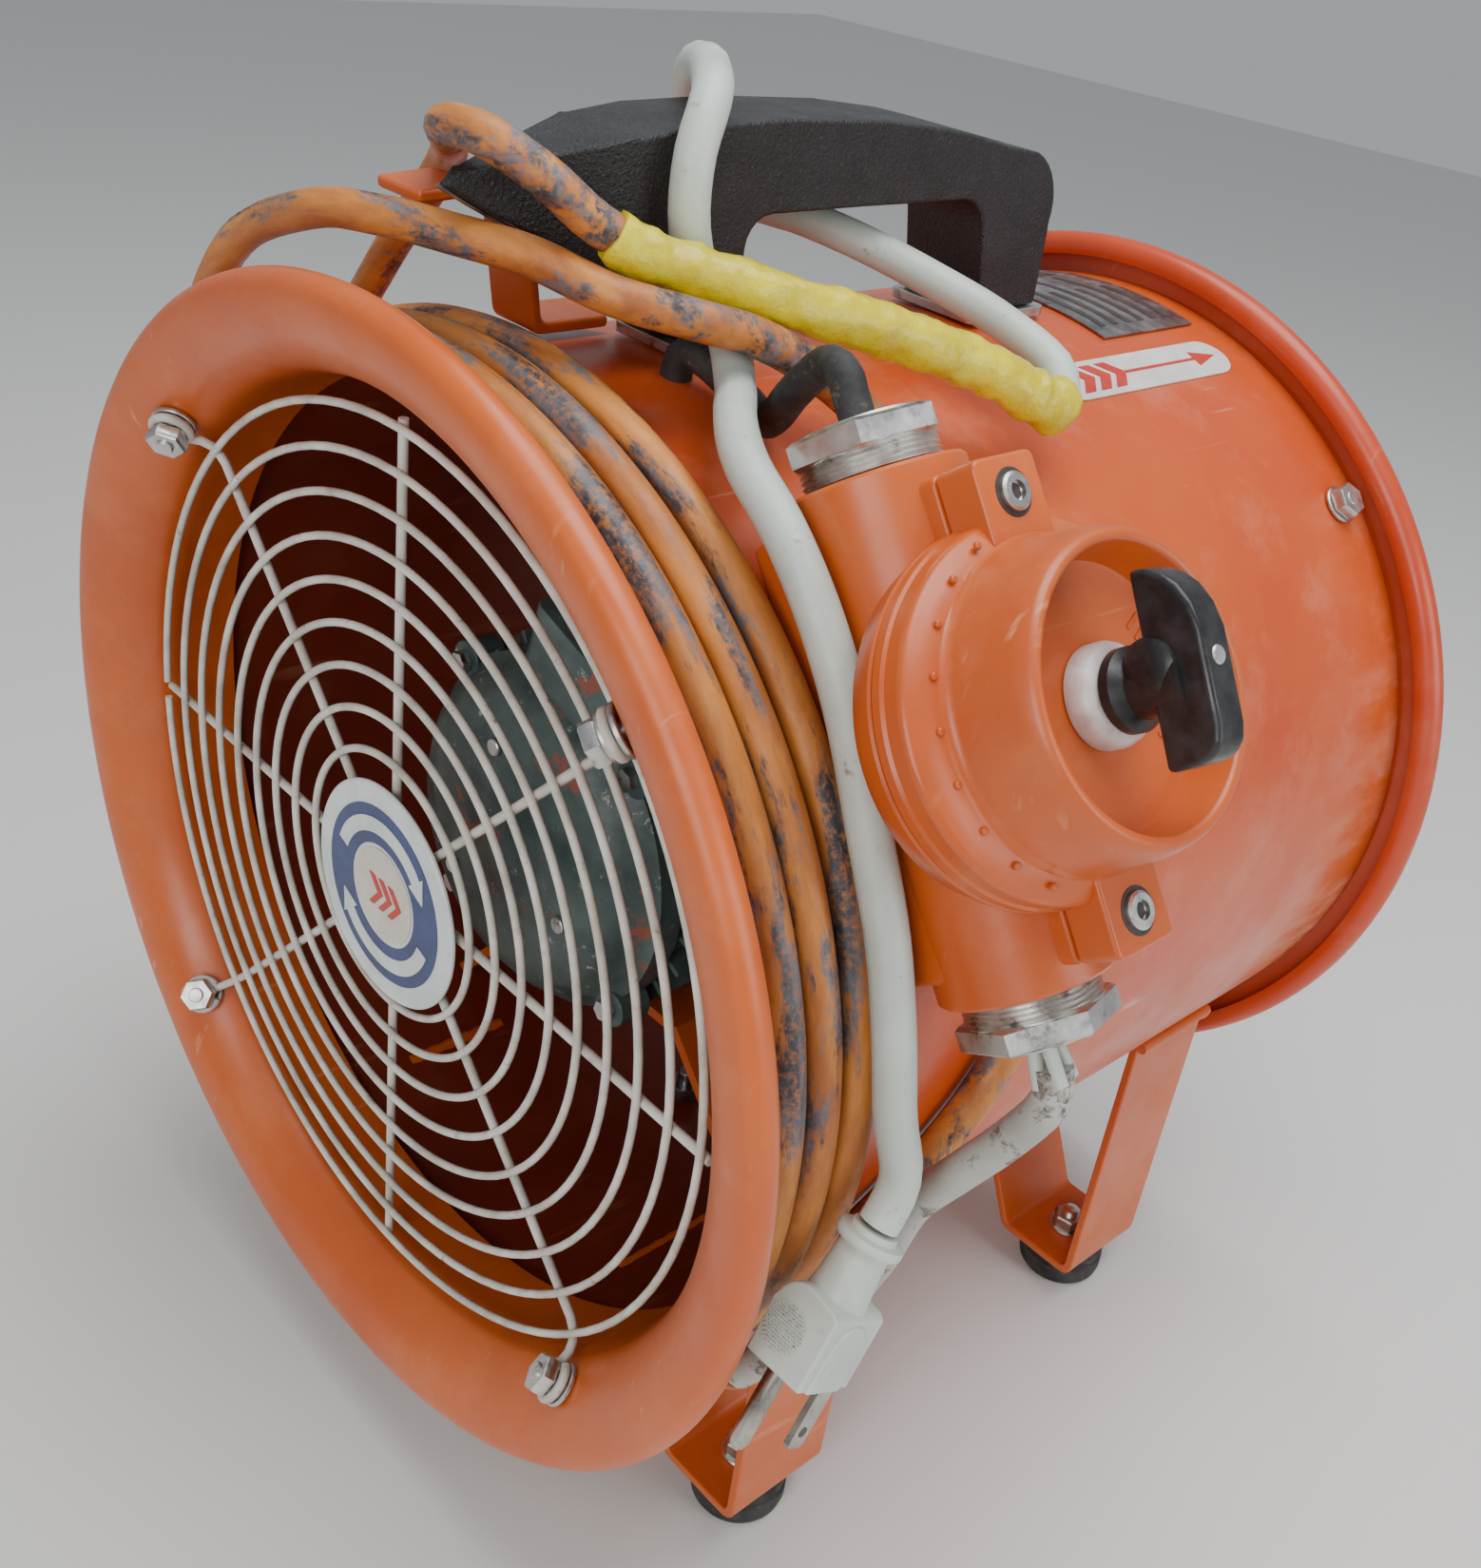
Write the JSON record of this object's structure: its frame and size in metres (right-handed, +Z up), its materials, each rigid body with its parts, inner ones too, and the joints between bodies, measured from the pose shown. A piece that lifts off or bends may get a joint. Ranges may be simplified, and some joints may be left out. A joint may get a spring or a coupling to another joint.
{
  "type": "portable axial ventilator",
  "caption": "Portable axial duct fan on feet: steel drum with belled intake, wire guards, carrying handle, sealed rotary switch box and wound cable.",
  "frame": {"origin": "on the floor, below the middle of the machine without its cable", "axes": "+Z up; +Y from the belled intake toward the outlet, along the fan axis; +X toward the switch box"},
  "size_m": [0.3522, 0.3074, 0.4033],
  "materials": {
    "orange_paint": "satin, chalked and scuffed",
    "red_paint": "satin",
    "zinc": "dull zinc plate",
    "steel": "machined",
    "guard_wire": "dull plated wire",
    "black_plastic": "textured",
    "nylon": "moulded",
    "green_grey_paint": "hammered",
    "black_rubber": "matte",
    "copper": "wound wire",
    "badge_print": "printed",
    "plate_metal": "brushed",
    "orange_cable": "worn jacket",
    "grey_cable": "dirty jacket",
    "white_cable": "moulded jacket",
    "yellow_tape": "wrapped tape"
  },
  "bodies": {
    "housing": {"bearing_front": "steel", "bearing_rear": "steel", "contact_block": "nylon", "cord_crossing": "orange_cable", "cord_rise": "orange_cable", "cord_winding": "orange_cable", "cover_screw_lower": "steel", "cover_screw_upper": "steel", "drum_shell": "orange_paint", "foot_front_left": "black_rubber", "foot_front_right": "black_rubber", "foot_rear_left": "black_rubber", "foot_rear_right": "black_rubber", "foot_stud_front_left": "zinc", "foot_stud_front_right": "zinc", "foot_stud_rear_left": "zinc", "foot_stud_rear_right": "zinc", "front_bell": "orange_paint", "front_guard": "guard_wire", "gland_lower": "zinc", "gland_upper": "zinc", "guard_badge": "badge_print", "guard_bolt_a": "zinc", "guard_bolt_b": "zinc", "guard_bolt_c": "zinc", "guard_bolt_d": "zinc", "handle": "black_plastic", "handle_bolt_front": "zinc", "handle_bolt_rear": "zinc", "handle_bracket": "orange_paint", "handle_pad": "zinc", "leg_front_left": "orange_paint", "leg_front_right": "orange_paint", "leg_rear_left": "orange_paint", "leg_rear_right": "orange_paint", "motor_cradle": "orange_paint", "motor_front_cover": "green_grey_paint", "motor_lead": "black_rubber", "motor_rear_cover": "green_grey_paint", "motor_shell": "green_grey_paint", "motor_stator": "copper", "nameplate": "plate_metal", "outlet_ring": "red_paint", "pigtail": "white_cable", "plug_body": "white_cable", "rear_guard": "guard_wire", "rear_guard_bolt_a": "zinc", "rear_guard_bolt_b": "zinc", "rear_guard_bolt_c": "zinc", "rear_guard_bolt_d": "zinc", "spindle_boss": "nylon", "splice_sleeve": "yellow_tape", "supply_lead": "grey_cable", "switch_base": "orange_paint", "switch_cover": "orange_paint", "terminal_box": "green_grey_paint"},
    "rotor": {"impeller": "red_paint", "motor_rotor": "steel"},
    "knob": {"switch_knob": "black_plastic", "switch_spindle": "steel"}
  },
  "joints": [
    {"name": "fan_spin", "type": "hinge", "parent": "housing", "child": "rotor", "pos_m": [-0.01615, -0.0016, 0.193], "axis": [0, 1, 0], "continuous": true},
    {"name": "knob_turn", "type": "hinge", "parent": "housing", "child": "knob", "pos_m": [0.14565, -0.0776, 0.31056], "axis": [0.809, 0, 0.5878], "range_deg": [-60, 60]}
  ]
}
